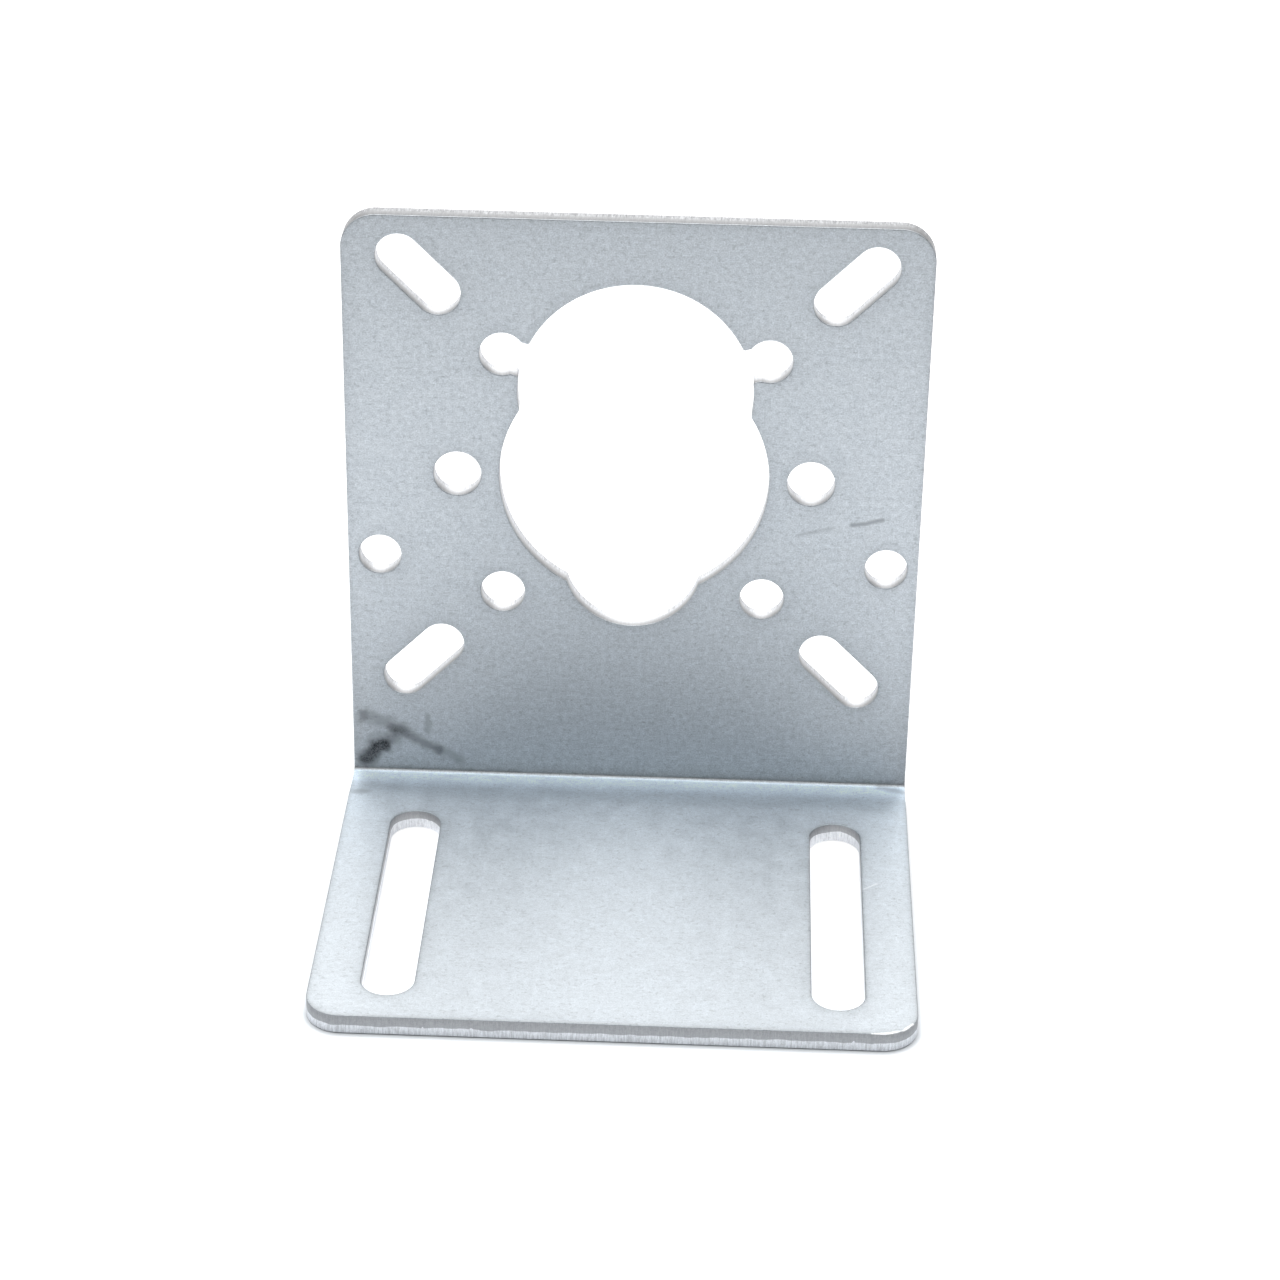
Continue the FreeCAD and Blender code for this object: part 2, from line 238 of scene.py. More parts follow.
# %% Name the sizes
SHEET = 2.0 * MM
WIDTH = 60.0 * MM
CORNER = 3.6 * MM
BASE_FRONT, PLATE_BACK = -24.45 * MM, 24.45 * MM
PLATE_TOP = 66.53 * MM
INNER_BEND = 0.2 * MM
OUTER_BEND = INNER_BEND + SHEET
BEND_START = PLATE_BACK - OUTER_BEND
BEND_LENGTH = INNER_BEND * pi / 2
MOTOR_HEIGHT = 38.0 * MM

ROLL_WIDTH, ROLL_DEPTH = 0.12 * MM, 0.09 * MM
HOLDING = 0.015 * MM
JOIN = 0.0005 * MM
ARC_ERROR = 0.003 * MM
GROOVE_DEPTH, GROOVE_WIDTH = 0.24 * MM, 6.0 * MM
PLATE_SWELL, PLATE_REACH = 0.12 * MM, 0.7 * MM


def on_plate(across, height):
    """The place in the flat blank of a point that ends up at a height on the plate."""
    return Vector((across, BEND_START + BEND_LENGTH + height - OUTER_BEND, 0))


motor = on_plate(0, MOTOR_HEIGHT)
print("Flat blank:", round((on_plate(0, PLATE_TOP).y - BASE_FRONT) / MM, 2), "mm long")

# %% [markdown]
# ## Drawing with a turning pen
# Every outline on this bracket is made of arcs and of straight lines between them.
# Spin turns one vertex about a centre and leaves edges behind, like a pair of compasses,
# so an outline needs only its arcs: the lines run from the end of each to the start of the next.

# %% Draw arcs and outlines
def bearing(here, there):
    """The direction from one point to another, in degrees."""
    return degrees(atan2(there.y - here.y, there.x - here.x))


def toward(angle):
    return Vector((cos(radians(angle)), sin(radians(angle)), 0))


def draw_arc(blank, centre, radius, start, turn):
    """Turn a vertex about a centre by some degrees, and return the arc's two ends."""
    pen = bmesh.ops.create_vert(blank, co=centre + radius * toward(start))["vert"][0]
    if not turn:
        return pen, pen
    step = 2 * degrees(acos(1 - ARC_ERROR / radius))
    steps = max(2, round(abs(turn) / step))
    arc = bmesh.ops.spin(blank, geom=[pen], cent=centre, axis=(0, 0, 1), angle=radians(turn),
                         steps=steps, use_duplicate=False)
    return pen, arc["geom_last"][0]


def sharp_corner(place):
    return place, 0, 0, 0


def draw_outline(blank, arcs, closed=True):
    """Draw arcs one after another, joined by straight lines where they don't meet."""
    ends = [draw_arc(blank, *arc) for arc in arcs]
    following = ends[1:] + ends[:1] if closed else ends[1:]
    for (_, last), (first, _) in zip(ends, following):
        if (last.co - first.co).length > JOIN:
            blank.edges.new((last, first))


def round_hole(blank, centre, radius):
    draw_outline(blank, [(centre, radius, 0, 360)])


def slot_hole(blank, centre, angle, travel, radius):
    """A hole with round ends, whose end circles are a travel apart."""
    half = toward(angle) * travel / 2
    draw_outline(blank, [(centre + half, radius, angle - 90, 180),
                         (centre - half, radius, angle + 90, 180)])


# %% [markdown]
# ## The motor opening
# The gearbox needs a large round opening with a relief above and below it, and the upper two of
# four square-set holes run into the relief. Where two arcs cross, the steel would end in a
# knife point, so the punch rounds it. Each rounding is a small circle that touches both
# neighbours. The outline is then a walk along a chain of circles: clockwise round the holes,
# and the other way round the roundings. Only the right half is walked, the left is its mirror.

# %% Walk along the circles of the opening
MAIN = motor, 14.05 * MM
UPPER_RELIEF = motor + Vector((0, 9.55 * MM, 0)), 12.15 * MM
LOWER_RELIEF = motor - Vector((0, 10.1 * MM, 0)), 7.25 * MM
HALF_SQUARE = 13.7 * MM
SQUARE_HOLE = motor + Vector((HALF_SQUARE, HALF_SQUARE, 0)), 2.35 * MM
HALF_THROAT = 1.85 * MM
CUSP = 0.3 * MM


def rounding_between(first, second):
    """The centre, right of the middle, of a rounding that touches two circles from outside."""
    (near, near_radius), (far, far_radius) = first, second
    along, reach, other = far - near, near_radius + CUSP, far_radius + CUSP
    foot = (along.length_squared + reach ** 2 - other ** 2) / (2 * along.length)
    aside = Vector((-along.y, along.x, 0)).normalized() * sqrt(reach ** 2 - foot ** 2)
    middle = near + along.normalized() * foot
    return max(middle + aside, middle - aside, key=lambda place: place.x)


def rounding_at_throat(circle, towards, side):
    """The centre of a rounding between a circle and a wall of the throat that leaves it."""
    centre, radius = circle
    along = (towards - centre).normalized()
    aside = Vector((-along.y, along.x, 0)) * side * (HALF_THROAT + CUSP)
    return centre + aside + along * sqrt((radius + CUSP) ** 2 - (HALF_THROAT + CUSP) ** 2)


def walk(circles, start, finish):
    """The arcs along a chain of touching circles; -1 goes round clockwise, 1 the other way."""
    arcs = []
    for place, (centre, radius, way) in enumerate(circles):
        if place + 1 < len(circles):
            following, _, next_way = circles[place + 1]
            contact = bearing(centre, following) - (90 if way == next_way else 0)
        else:
            contact = finish
        arcs.append((centre, radius, start, way * ((contact - start) * way % 360)))
        if place + 1 < len(circles):
            start = contact if way == next_way else contact + 180
    return arcs


def motor_opening():
    relief, hole = UPPER_RELIEF, SQUARE_HOLE
    stations = [(*relief, -1)]
    for side, order in ((1, 1), (-1, -1)):
        pair = [(rounding_at_throat(relief, hole[0], side), CUSP, 1),
                (rounding_at_throat(hole, relief[0], -side), CUSP, 1)]
        stations += pair[::order]
        stations.append((*(hole if side > 0 else relief), -1))
    stations += [(rounding_between(relief, MAIN), CUSP, 1), (*MAIN, -1),
                 (rounding_between(MAIN, LOWER_RELIEF), CUSP, 1), (*LOWER_RELIEF, -1)]
    return walk(stations, 90, -90)


opening = motor_opening()
print("Arcs in half the opening:", len(opening))

# %% [markdown]
# ## The blank
# All holes of the right half are drawn and mirrored, and then the base and the plate get their
# outlines. Triangle fill finds by itself what is sheet and what is hole. The narrow gap between
# base and plate is where the fold will be, and it is filled with strips from side to side.
# Cutting the holes with booleans would work too, but it leaves faces that are hard to dress.

# %% Punch the holes and cut the outline
ROUND_HOLES = [(motor + Vector((HALF_SQUARE, -HALF_SQUARE, 0)), 2.35 * MM),
               (motor + Vector((18.4 * MM, 0, 0)), 2.5 * MM),
               (motor + Vector((26.65 * MM, -9.7 * MM, 0)), 2.25 * MM)]
SLOT_HOLES = [(motor + Vector((22.2 * MM, 22.2 * MM, 0)), 45, 5.6 * MM, 2.35 * MM),
              (motor + Vector((22.2 * MM, -22.2 * MM, 0)), -45, 5.6 * MM, 2.35 * MM),
              (Vector((22.25 * MM, -3.4 * MM, 0)), 90, 29.2 * MM, 2.65 * MM)]
BEND_STRIPS = [BEND_LENGTH / 10] * 10
FLANK_STRIPS = [0.3 * MM] * 8 + [0.45 * MM] * 8
FLANK = sum(FLANK_STRIPS)
FOLD_START, FOLD_END = BEND_START - FLANK, BEND_START + BEND_LENGTH + FLANK


def draw_holes(blank):
    draw_outline(blank, opening, closed=False)
    for centre, radius in ROUND_HOLES:
        round_hole(blank, centre, radius)
    for centre, angle, travel, radius in SLOT_HOLES:
        slot_hole(blank, centre, angle, travel, radius)
    bmesh.ops.mirror(blank, geom=blank.verts[:] + blank.edges[:], axis="X", merge_dist=JOIN)


def draw_side(blank, far_end, bend_end):
    """The outline of the base or of the plate: two rounded corners, and two at the bend."""
    outward = 1 if far_end > bend_end else -1
    right, far = WIDTH / 2 - CORNER, far_end - outward * CORNER
    draw_outline(blank, [(Vector((right, far, 0)), CORNER, 0, 90 * outward),
                         (Vector((-right, far, 0)), CORNER, 90 * outward, 90 * outward),
                         sharp_corner(Vector((-WIDTH / 2, bend_end, 0))),
                         sharp_corner(Vector((WIDTH / 2, bend_end, 0)))])


def fill_fold(blank):
    """Extrude the edge of the base across the fold, strip by strip, up to the plate."""
    row = [edge for edge in blank.edges
           if all(abs(corner.co.y - FOLD_START) < JOIN for corner in edge.verts)]
    for strip in FLANK_STRIPS[::-1] + BEND_STRIPS + FLANK_STRIPS:
        made = bmesh.ops.extrude_edge_only(blank, edges=row)["geom"]
        corners = [item for item in made if isinstance(item, bmesh.types.BMVert)]
        bmesh.ops.translate(blank, verts=corners, vec=(0, strip, 0))
        row = [item for item in made if isinstance(item, bmesh.types.BMEdge)
               and all(corner in corners for corner in item.verts)]


blank = bmesh.new()
draw_holes(blank)
draw_side(blank, BASE_FRONT, FOLD_START)
draw_side(blank, on_plate(0, PLATE_TOP).y, FOLD_END)
bmesh.ops.remove_doubles(blank, verts=blank.verts, dist=JOIN)
bmesh.ops.triangle_fill(blank, edges=blank.edges, use_beauty=True, use_dissolve=False)
fill_fold(blank)
bmesh.ops.remove_doubles(blank, verts=blank.verts, dist=JOIN)
bmesh.ops.recalc_face_normals(blank, faces=blank.faces)
flat_area = sum(face.calc_area() for face in blank.faces)
print("Blank:", len(blank.verts), "vertices,", round(flat_area / MM ** 2), "square mm of sheet")

# %% [markdown]
# ## The thickness and the rolled edge
# A punch first draws the metal down with it and then shears it, so on that side each edge is
# rolled over softly, while the other side stays sharp. Bevel would round the edges evenly, but a
# roll is wider than it is deep. So the upper face is inset in small steps, and each step lifts
# it along a quarter of an ellipse. Insetting stretches the triangles inside, so they are filled
# afresh each time. A last hair-thin step keeps the shading of the flat face flat.

# %% Raise the sheet and roll its upper edges
ROLL_STEPS = 5


def in_fold(face):
    return FOLD_START < face.calc_center_median().y < FOLD_END


def refill(blank, faces):
    """Fill flat parts afresh, from the edges that are left open when their faces go."""
    bmesh.ops.delete(blank, geom=faces, context="FACES")
    rim = [edge for edge in blank.edges if edge.is_boundary]
    bmesh.ops.triangle_fill(blank, edges=rim, use_beauty=True, use_dissolve=False, normal=(0, 0, 1))


def inset_top(blank, width, rise):
    """Inset the upper face of the sheet, lift what is inside, and fill it afresh."""
    top = max(corner.co.z for corner in blank.verts) - JOIN
    inside = [face for face in blank.faces if all(corner.co.z > top for corner in face.verts)]
    bmesh.ops.inset_region(blank, faces=inside, use_boundary=True, use_even_offset=True,
                           thickness=width, depth=0)
    corners = list({corner for face in inside for corner in face.verts})
    bmesh.ops.translate(blank, verts=corners, vec=(0, 0, rise))
    refill(blank, [face for face in inside if not in_fold(face)])


def thicken_and_roll(blank):
    raised = bmesh.ops.extrude_face_region(blank, geom=blank.faces[:])["geom"]
    top = [item for item in raised if isinstance(item, bmesh.types.BMVert)]
    bmesh.ops.translate(blank, verts=top, vec=(0, 0, SHEET - ROLL_DEPTH))
    bmesh.ops.bisect_plane(blank, geom=blank.verts[:] + blank.edges[:] + blank.faces[:], dist=JOIN,
                           plane_co=(0, 0, SHEET - ROLL_DEPTH - HOLDING), plane_no=(0, 0, 1))
    angles = [pi / 2 * step / ROLL_STEPS for step in range(ROLL_STEPS + 1)]
    for before, after in zip(angles, angles[1:]):
        inset_top(blank, ROLL_WIDTH * (cos(before) - cos(after)),
                  ROLL_DEPTH * (sin(after) - sin(before)))
    bmesh.ops.recalc_face_normals(blank, faces=blank.faces)


thicken_and_roll(blank)
inset_top(blank, HOLDING, 0)
bmesh.ops.recalc_face_normals(blank, faces=blank.faces)
heights = [corner.co.z / MM for corner in blank.verts]
print("Sheet from", round(min(heights), 3), "to", round(max(heights), 3), "mm, closed:",
      all(edge.is_manifold for edge in blank.edges))

# %% [markdown]
# ## The fold
# The press bends the sheet over a sharp nose, so the inner radius is only 0.2 mm. Each vertex is
# pulled back to the start of the bend and turned about its centre line: by part of a right
# angle within the bend, and by all of it on the plate. The nose also presses a shallow groove into
# the base beside the crease, whose slope catches the light; the face material adds a painted
# highlight to make that band pale.
# Before that, every vertex notes where it lies in the flat blank, because the grain, the marks
# and the sheared edges follow the sheet round the fold.

# %% Fold the plate up
def note_flat_place(blank):
    """Store where each vertex lies in the flat blank: across, along, and below the inner face."""
    flat_place = blank.verts.layers.float_vector.new("flat_place")
    for corner in blank.verts:
        corner[flat_place] = (corner.co.x, corner.co.y, SHEET - corner.co.z)


def set_shading(blank):
    """Flat faces stay flat, curved ones turn smooth, and the sheared walls get their own finish."""
    for face in blank.faces:
        face.material_index = 1 if abs(face.normal.z) < 0.2 else 0
        face.smooth = in_fold(face) or len(face.verts) == 4
    for edge in blank.edges:
        smooth = all(face.smooth for face in edge.link_faces)
        edge.smooth = smooth and edge.calc_face_angle(0) < radians(40)


def fold(blank):
    centre = Vector((0, BEND_START, OUTER_BEND))
    for corner in blank.verts:
        bent = min(max(corner.co.y - BEND_START, 0), BEND_LENGTH)
        turn = Matrix.Rotation(bent / BEND_LENGTH * pi / 2, 3, "X")
        corner.co = centre + turn @ (corner.co - centre - Vector((0, bent, 0)))


def groove(distance):
    """How deep the groove is: steep at the crease, and level again at its far side."""
    share = min(distance / GROOVE_WIDTH, 1)
    return GROOVE_DEPTH * 27 / 4 * share * (1 - share) ** 2


def press_crease(blank):
    """Push the inner face out on the plate beside the crease, and down into a groove on the base."""
    flat_place = blank.verts.layers.float_vector["flat_place"]
    for corner in blank.verts:
        innermost = 1 - corner[flat_place].z / SHEET
        to_plate, to_base = PLATE_BACK - SHEET - corner.co.y, corner.co.z - SHEET
        if innermost > 0.5:
            out = PLATE_SWELL * exp(-(to_plate + to_base) / PLATE_REACH)
            down = groove(max(to_plate, 0)) if to_base < JOIN else 0
            corner.co += Vector((0, -out, -down)) * innermost


note_flat_place(blank)
set_shading(blank)
fold(blank)
press_crease(blank)
blank.normal_update()
print("Folded:", len(blank.faces), "faces,", round(blank.calc_volume() / MM ** 3, 1), "cubic mm")

mesh = bpy.data.meshes.new("zinc_bracket")
blank.to_mesh(mesh)
blank.free()
bracket = bpy.data.objects.new("zinc_bracket", mesh)
bpy.context.collection.objects.link(bracket)
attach(bracket, "root")
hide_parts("bracket")

# %% [markdown]
# ## The grain of the sheet
# Cold-rolled sheet with a thin zinc coat is pale, slightly blue and half matt. Close up it is
# mottled in fine spots, with short dashes along the rolling direction. The sheared edges show the
# same grain, only finer, so it is made once, as a node group with its own size of spot.
# Everything is measured in millimetres in the flat blank, from the place each vertex has noted.

# %% Make the grain
def add_group(name, inputs, outputs):
    """An empty node group with named inputs and outputs."""
    group = bpy.data.node_groups.new(name, "ShaderNodeTree")
    for title, kind in inputs.items():
        group.interface.new_socket(title, in_out="INPUT", socket_type=f"NodeSocket{kind}")
    for title, kind in outputs.items():
        group.interface.new_socket(title, in_out="OUTPUT", socket_type=f"NodeSocket{kind}")
    return group, group.nodes.new("NodeGroupInput").outputs, group.nodes.new("NodeGroupOutput")


def use_group(tree, group, **inputs):
    return add_node(tree, "ShaderNodeGroup", inputs, node_tree=group).outputs


def noise(tree, place, size, detail=2.0, stretch=(1, 1, 1), shift=(0, 0, 0)):
    """Soft random shade whose spots are about one size wide."""
    moved = vectors(tree, "MULTIPLY_ADD", place, stretch, shift)
    return add_node(tree, "ShaderNodeTexNoise", {"Vector": moved, "Scale": 1 / size,
                                                 "Detail": detail}).outputs["Fac"]


def sheet_place(tree):
    """The place in the flat blank in millimetres: across, along and below the inner face."""
    place = add_node(tree, "ShaderNodeAttribute", attribute_name="flat_place").outputs["Vector"]
    return vectors(tree, "SCALE", place, Scale=1 / MM)


def weighed(tree, *parts):
    """Add up several shades, each times its own share."""
    total = 0.0
    for shade, share in parts:
        total = maths(tree, "MULTIPLY_ADD", shade, share, total)
    return total


grain, given, made = add_group("zinc_grain", {"Place": "Vector", "Spot": "Float"}, {"Shade": "Float"})
place = vectors(grain, "SCALE", given["Place"], Scale=maths(grain, "DIVIDE", 1.0, given["Spot"]))
shade = weighed(grain, (noise(grain, place, 1), 0.55), (noise(grain, place, 3.5), 0.30),
                (noise(grain, place, 1, stretch=(0.16, 1, 1)), 0.15))
grain.links.new(shade, made.inputs["Shade"])
print("Grain from", len(grain.nodes), "nodes")

# %% [markdown]
# ## How far it is to a cut edge
# Beside every hole and along the outline the punch dragged the sheet down, far beyond the tight
# roll at the rim. The face is darker there, partly duller zinc and partly painted shade for that
# slope, which the mesh doesn't have. A finish that follows the holes needs the distance to the
# nearest one. It could be baked into the mesh, but the flat faces have no vertices to hold
# it. Nodes can work it out from the same circles and lines that drew the blank.

# %% Measure the distance to the nearest cut
def to_circle(tree, spot, centre, radius):
    gap = vectors(tree, "DISTANCE", spot, centre / MM, output=1)
    return maths(tree, "SUBTRACT", gap, radius / MM)


def to_line(tree, spot, start, end):
    """The distance to a straight line between two points, all in millimetres."""
    along = end - start
    reach = vectors(tree, "SUBTRACT", spot, start)
    share = maths(tree, "DIVIDE", vectors(tree, "DOT_PRODUCT", reach, along, output=1),
                  along.length_squared, clamp=True)
    foot = vectors(tree, "SCALE", along, Scale=share)
    return vectors(tree, "DISTANCE", reach, foot, output=1)


def to_outline(tree, spot):
    """How far inside the rounded outline of the whole blank a point lies."""
    far_end = on_plate(0, PLATE_TOP).y
    middle = Vector((0, (far_end + BASE_FRONT) / 2, 0)) / MM
    half = Vector((WIDTH / 2, (far_end - BASE_FRONT) / 2, 0)) / MM
    return maths(tree, "MULTIPLY", beyond_rounded(tree, spot, middle, half, CORNER / MM), -1.0)


cuts, given, made = add_group("distance_to_cut", {"Place": "Vector"},
                              {"Distance": "Float", "Outline": "Float"})
place = add_node(cuts, "ShaderNodeSeparateXYZ", {"Vector": given["Place"]}).outputs
spot = add_node(cuts, "ShaderNodeCombineXYZ", {
    "X": maths(cuts, "ABSOLUTE", place["X"]), "Y": place["Y"]}).outputs[0]
outline = to_outline(cuts, spot)
nearest = outline
for centre, radius in [MAIN, UPPER_RELIEF, LOWER_RELIEF, SQUARE_HOLE] + ROUND_HOLES:
    nearest = maths(cuts, "MINIMUM", nearest, to_circle(cuts, spot, centre, radius))
for centre, angle, travel, radius in SLOT_HOLES:
    half = toward(angle) * travel / 2
    line = to_line(cuts, spot, (centre - half) / MM, (centre + half) / MM)
    nearest = maths(cuts, "MINIMUM", nearest, maths(cuts, "SUBTRACT", line, radius / MM))
cuts.links.new(nearest, made.inputs["Distance"])
cuts.links.new(outline, made.inputs["Outline"])
print("Distance from", len(cuts.nodes), "nodes")

# %% [markdown]
# ## Marks from use
# Near the fold's left end something black was rubbed into the zinc, with a grey streak beside it,
# and a thin scratch runs below the right-hand holes. Each mark follows a short chain of points,
# measured on the sheet. Its edge is ragged, because noise is added to the distance from the chain.
# Two marks are bright: a short scratch beside the right slot, and a painted highlight along the rim
# of the front corner.

# %% Rub in the marks
def plate_chain(*points):
    """Points given across and up the plate, as places in the flat blank in millimetres."""
    return [on_plate(across * MM, height * MM) / MM for across, height in points]


def base_chain(*points):
    return [Vector((across, along, 0)) for across, along in points]


MARKS = [  # chain, half width, softness, ragged, strength
    (plate_chain((-28.6, 3.2), (-27.5, 4.5), (-26.7, 4.9)), 0.28, 1.10, 1.0, 0.84),
    (plate_chain((-27.8, 5.2), (-25.8, 5.9)), 0.10, 1.5, 1.3, 0.42),
    (plate_chain((-28.6, 8.5), (-26.4, 7.8), (-24.6, 6.8)), 0.10, 1.5, 1.3, 0.35),
    (plate_chain((-25.6, 7.2), (-22.4, 5.4), (-20.8, 4.7)), 0.05, 0.95, 0.9, 0.46),
    (plate_chain((-20.9, 4.8), (-18.4, 3.4)), 0.05, 0.95, 0.9, 0.27),
    (plate_chain((-29.0, 8.9), (-28.8, 8.2)), 0.10, 0.75, 0.9, 0.26),
    (plate_chain((-21.9, 8.6), (-21.9, 6.9)), 0.05, 0.6, 1.0, 0.28),
    (base_chain((-29.2, 17.6), (-28.4, 17.6)), 0.10, 0.9, 0.8, 0.28),
    (base_chain((27.3, 22.1), (28.5, 21.7), (29.7, 21.2)), 0.05, 0.70, 0.5, 0.30),
    (plate_chain((17.2, 32.0), (20.9, 33.0)), 0.02, 0.34, 0.25, 0.20),
    (plate_chain((22.9, 33.4), (24.2, 33.6), (26.0, 34.1)), 0.02, 0.38, 0.25, 0.42),
]
BRIGHT_SCRATCH = base_chain((25.1, 1.3), (26.5, 2.4))
# A painted highlight along the rim of the front right corner.
PAINTED_RIM_HIGHLIGHT = base_chain((25.4, -24.45), (26.6, -24.4), (28.5, -23.7), (29.4, -22.6))


def to_chain(tree, spot, chain):
    nearest = to_line(tree, spot, chain[0], chain[1])
    for start, end in zip(chain[1:], chain[2:]):
        nearest = maths(tree, "MINIMUM", nearest, to_line(tree, spot, start, end))
    return nearest


def rubbed(tree, spot, raggedness):
    """How black the marks make each point, from 0 to 1."""
    clean = 1.0
    for chain, half_width, softness, ragged, strength in MARKS:
        wavy = maths(tree, "MULTIPLY_ADD", raggedness, ragged, to_chain(tree, spot, chain))
        mark = ramp(tree, wavy, half_width, half_width + softness, strength, 0.0)
        clean = maths(tree, "MULTIPLY", clean, maths(tree, "SUBTRACT", 1.0, mark))
    return maths(tree, "SUBTRACT", 1.0, clean)


print("Marks:", len(MARKS))

# %% [markdown]
# ## The face of the sheet
# The colour is the grain, times several changes: cloudy mottling, sparse dark dashes and specks,
# and painted light and shade. Beside each cut the face is darker, partly duller zinc and partly
# painted shade. Right at the crease it has painted shade, and along the rims of the base painted
# shade that hides the highlight on the roll. Beside the crease the base has a pale band, partly zinc
# the press nose burnished and partly painted highlight, and a broad painted light, a little bluer.
# The marks come last, on the inner face only, and with them a painted highlight on the front
# corner's rim. The bump has the grain, so the light breaks up in its spots.

# %% Make the zinc face
FACE_SPOT, EDGE_SPOT = 0.16, 0.1
DARK_ZINC, PALE_ZINC = (0.438, 0.470, 0.499, 1), (0.695, 0.737, 0.779, 1)
# The tint of the painted light on the base beside the crease.
PAINTED_LIGHT_TINT = (0.93, 1.0, 1.06)
SCRATCH_AND_HIGHLIGHT_ZINC, RUBBED_BLACK = (0.98, 0.99, 1, 1), (0.022, 0.023, 0.026, 1)


def fading(tree, distance, reach):
    """A change that is full at no distance and dies away with it."""
    return maths(tree, "EXPONENT", maths(tree, "DIVIDE", distance, -reach))


material, tree = new_material("zinc_steel_face")
place = sheet_place(tree)
level = vectors(tree, "MULTIPLY", place, (1, 1, 0))
shade = use_group(tree, grain, Place=place, Spot=FACE_SPOT)["Shade"]
from_cut = maths(tree, "MAXIMUM", use_group(tree, cuts, Place=place)["Distance"], 0.0)
clouds = noise(tree, place, 2.0, detail=3)
dashes = ramp(tree, noise(tree, place, 0.3, detail=0, stretch=(0.3, 1, 1), shift=(0, 70, 0)),
              0.66, 0.78)
parts = add_node(tree, "ShaderNodeSeparateXYZ", {"Vector": place}).outputs
depth = parts["Z"]
along = maths(tree, "SUBTRACT", parts["Y"], (BEND_START + BEND_LENGTH / 2) / MM)
from_bend = maths(tree, "ABSOLUTE", along)
on_base = ramp(tree, along, -0.4, 0.0, 1.0, 0.0)
# A pale band on the base beside the crease: partly zinc the press nose burnished, partly painted
# highlight.
nose_burnish_and_painted_band = maths(tree, "MULTIPLY", on_base, ramp(tree, from_bend, 1.2, 3.6, 1.0, 0.0))
# Painted light: the base is lighter toward the crease, fading over some 12 mm.
painted_crease_light = maths(tree, "MULTIPLY", on_base, fading(tree, from_bend, 12.0))
specks = ramp(tree, noise(tree, place, 0.35, detail=0, shift=(0, 0, 30)), 0.68, 0.77)
# Painted shade along the rims of the base, where it hides the highlight on the rolled edge.
rim = maths(tree, "MULTIPLY", on_base, fading(tree, from_cut, 0.15))
# Darker beside each cut, partly duller zinc and partly painted shade; painted shade right at the
# crease.
tone_and_painted_light = weighed(tree, (clouds, 0.23), (dashes, -0.08), (fading(tree, from_cut, 0.9), -0.09),
                 (fading(tree, from_cut, 0.3), -0.04), (fading(tree, from_bend, 0.17), -0.44),
                 (nose_burnish_and_painted_band, 0.31), (painted_crease_light, 0.26), (specks, -0.12), (rim, -0.34))
contrast = maths(tree, "MULTIPLY_ADD", on_base, -0.45, 1.2)
spotted = maths(tree, "MULTIPLY_ADD", maths(tree, "SUBTRACT", shade, 0.5), contrast, 0.5)
tone = add_node(tree, "ShaderNodeValToRGB", {"Fac": spotted})
for stop, position, zinc in zip(tone.color_ramp.elements, (0.3, 0.7), (DARK_ZINC, PALE_ZINC)):
    stop.position, stop.color = position, zinc
colour = vectors(tree, "SCALE", tone.outputs["Color"], Scale=maths(tree, "ADD", tone_and_painted_light, 0.888))
# The painted light beside the crease is also a little bluer.
colour = mix_colours(tree, painted_crease_light, colour, vectors(tree, "MULTIPLY", colour, PAINTED_LIGHT_TINT))
raggedness = maths(tree, "SUBTRACT", noise(tree, place, 1.0, detail=3), 0.5)
on_inside = ramp(tree, depth, 0.5, 1.0, 1.0, 0.0)
black = maths(tree, "MULTIPLY", rubbed(tree, level, raggedness), on_inside)
black = maths(tree, "MULTIPLY", black, ramp(tree, shade, 0.32, 0.62, 0.66, 1.08))
to_scratch = maths(tree, "MULTIPLY_ADD", raggedness, 0.2, to_line(tree, level, *BRIGHT_SCRATCH))
# The bright scratch, and the painted highlight on the front corner's rim.
to_rim_highlight = maths(tree, "MULTIPLY_ADD", raggedness, 0.5, to_chain(tree, level, PAINTED_RIM_HIGHLIGHT))
scratch_and_rim_highlight = maths(tree, "MAXIMUM", ramp(tree, to_scratch, 0.03, 0.16, 0.3, 0.0),
                ramp(tree, to_rim_highlight, 0.0, 0.22, 0.75, 0.0))
colour = mix_colours(tree, maths(tree, "MULTIPLY", scratch_and_rim_highlight, on_inside), colour, SCRATCH_AND_HIGHLIGHT_ZINC)
colour = mix_colours(tree, black, colour, RUBBED_BLACK)
bump = add_node(tree, "ShaderNodeBump", {"Height": shade, "Distance": 0.004 * MM, "Strength": 1.0})
steel = add_node(tree, "ShaderNodeBsdfPrincipled", {
    "Base Color": colour, "Metallic": 1.0,
    "Roughness": ramp(tree, clouds, 0.3, 0.7, 0.57, 0.63), "Normal": bump.outputs[0]})
add_node(tree, "ShaderNodeOutputMaterial", {"Surface": steel.outputs[0]})
mesh.materials.append(material)
print("Face material from", len(tree.nodes), "nodes")

# %% [markdown]
# ## Sheared edges
# The wall of a cut has two bands. The punch first cuts and burnishes it smooth and dark, and a
# little less dark the deeper it goes. Past half way the rest breaks off: that band is pale and
# rough, full of fine upright tears, and the border between the two wanders and has nicks. Two
# materials could be used, but the border follows the depth in the sheet, so one that reads the
# depth can hold both. The walls of the holes in the plate get their own share: they are lighter
# than the outline, and lighter toward the back face, partly their finish and partly painted light
# for the bright board behind that they look at.

# %% Make the sheared edge
BURNISHED, BROKEN = (0.948, 0.966, 1.0), (0.908, 0.926, 0.96)

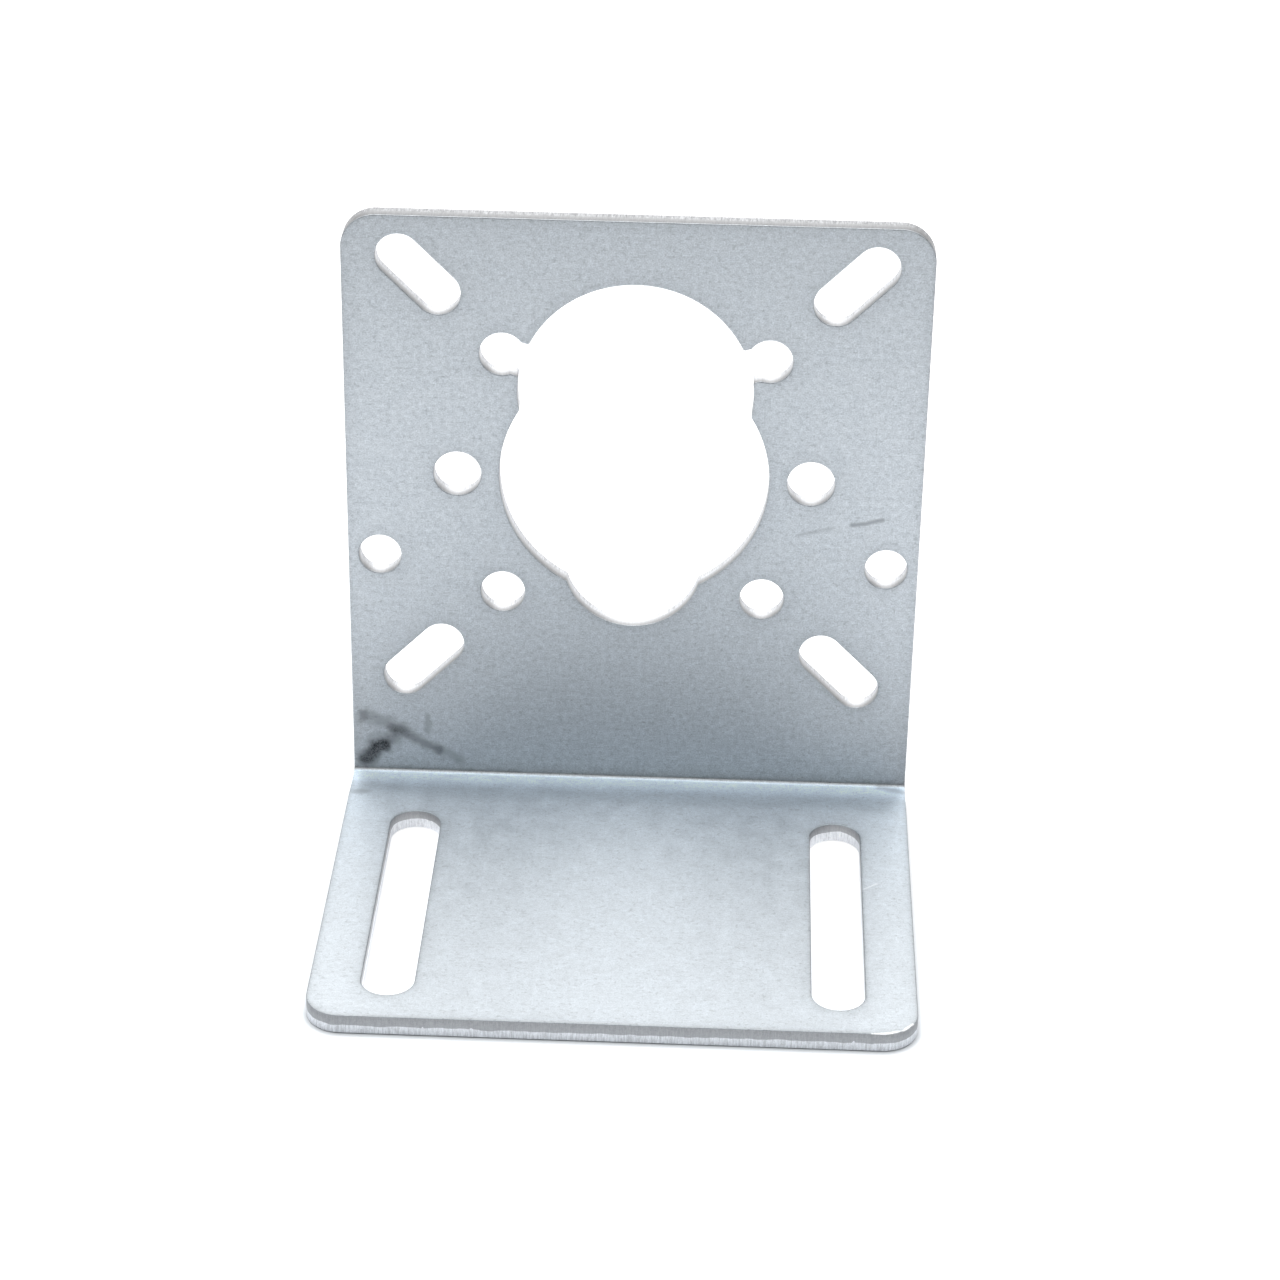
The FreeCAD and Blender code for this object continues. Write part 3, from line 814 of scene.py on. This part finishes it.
material, tree = new_material("zinc_steel_cut_edge")
place = sheet_place(tree)
parts = add_node(tree, "ShaderNodeSeparateXYZ", {"Vector": place}).outputs
depth = parts["Z"]
around = vectors(tree, "MULTIPLY", place, (1, 1, 0))
nicks = ramp(tree, noise(tree, around, 1.7, shift=(9, 0, 0)), 0.68, 0.74)
plate_part = ramp(tree, parts["Y"], FOLD_START / MM, FOLD_END / MM)
in_hole = ramp(tree, use_group(tree, cuts, Place=place)["Outline"], 0.2, 0.4)
# Walls of holes in the plate, lighter than its outline: partly finish, partly painted light.
bright = maths(tree, "MULTIPLY", in_hole, plate_part)
dull = maths(tree, "MULTIPLY", maths(tree, "SUBTRACT", 1.0, in_hole), plate_part)
tears = noise(tree, place, 0.14, detail=3, stretch=(1, 1, 0.14))
specks = use_group(tree, grain, Place=place, Spot=EDGE_SPOT)["Shade"]
deeper = ramp(tree, depth, 0.1, 1.2)
# Painted light: the walls of holes in the plate grow lighter toward the back face.
painted_light_deeper = maths(tree, "MULTIPLY", bright, deeper)
in_base = maths(tree, "SUBTRACT", in_hole, bright)
wander = weighed(tree, (noise(tree, around, 2.2, detail=3), 0.60), (nicks, 0.25), (in_base, 0.20))
broken = ramp(tree, maths(tree, "ADD", depth, wander), 1.40, 1.47)
burnish = vectors(tree, "SCALE", BURNISHED, Scale=weighed(
    tree, (ramp(tree, tears, 0.3, 0.7), 0.05), (ramp(tree, specks, 0.3, 0.7), 0.07), (dull, -0.05),
    (deeper, 0.10), (bright, 0.05), (painted_light_deeper, 0.22), (in_base, 0.03), (1.0, 0.25)))
rough_break = vectors(tree, "SCALE", BROKEN, Scale=weighed(
    tree, (ramp(tree, tears, 0.25, 0.75), 0.26), (ramp(tree, specks, 0.3, 0.7), 0.16), (dull, -0.43),
    (bright, -0.04), (in_base, 0.08), (1.0, 0.66)))
bump = add_node(tree, "ShaderNodeBump", {
    "Height": tears, "Distance": maths(tree, "MULTIPLY", broken, 0.03 * MM)})
steel = add_node(tree, "ShaderNodeBsdfPrincipled", {
    "Base Color": mix_colours(tree, broken, burnish, rough_break), "Metallic": 1.0,
    "Roughness": ramp(tree, broken, 0, 1, 0.42, 0.55), "Normal": bump.outputs[0]})
add_node(tree, "ShaderNodeOutputMaterial", {"Surface": steel.outputs[0]})
mesh.materials.append(material)
print("Edge material from", len(tree.nodes), "nodes")

# %% [markdown]
# ## Finish
# Blender's Standard view shows a colour as it is written.

# %% Set the view and finish
bpy.context.scene.view_settings.view_transform = "Standard"
bpy.context.view_layer.update()
